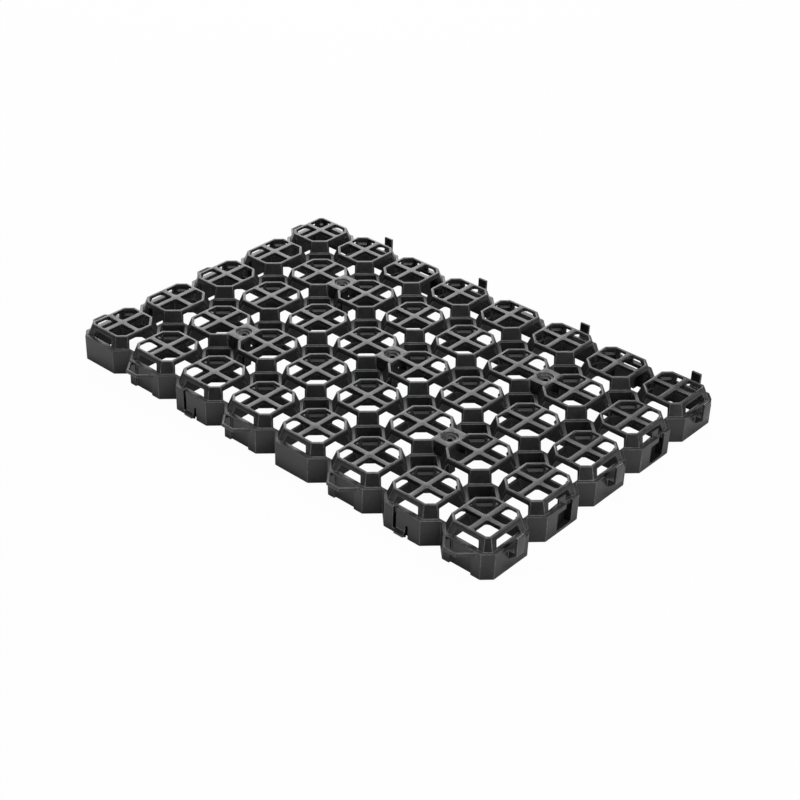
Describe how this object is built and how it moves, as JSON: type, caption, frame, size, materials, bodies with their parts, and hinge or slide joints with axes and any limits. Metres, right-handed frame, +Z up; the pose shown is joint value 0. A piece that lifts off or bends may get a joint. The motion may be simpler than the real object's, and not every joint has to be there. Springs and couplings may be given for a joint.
{
  "type": "grass paver grid",
  "caption": "Open moulded plate of octagonal cells with crossed tops and interlocking edges, laid on the ground to carry feet and wheels over grass or gravel",
  "frame": {"origin": "middle screw hole of the plate, at the level it stands on", "axes": "+X along the long side, +Y along the short side towards the hooks, +Z up"},
  "size_m": [0.6153, 0.4153, 0.043],
  "materials": {
    "black_plastic": "moulded recycled polyolefin, black, dull with a slight sheen"
  },
  "bodies": {
    "root": {"paver_grid": "black_plastic"}
  },
  "joints": []
}
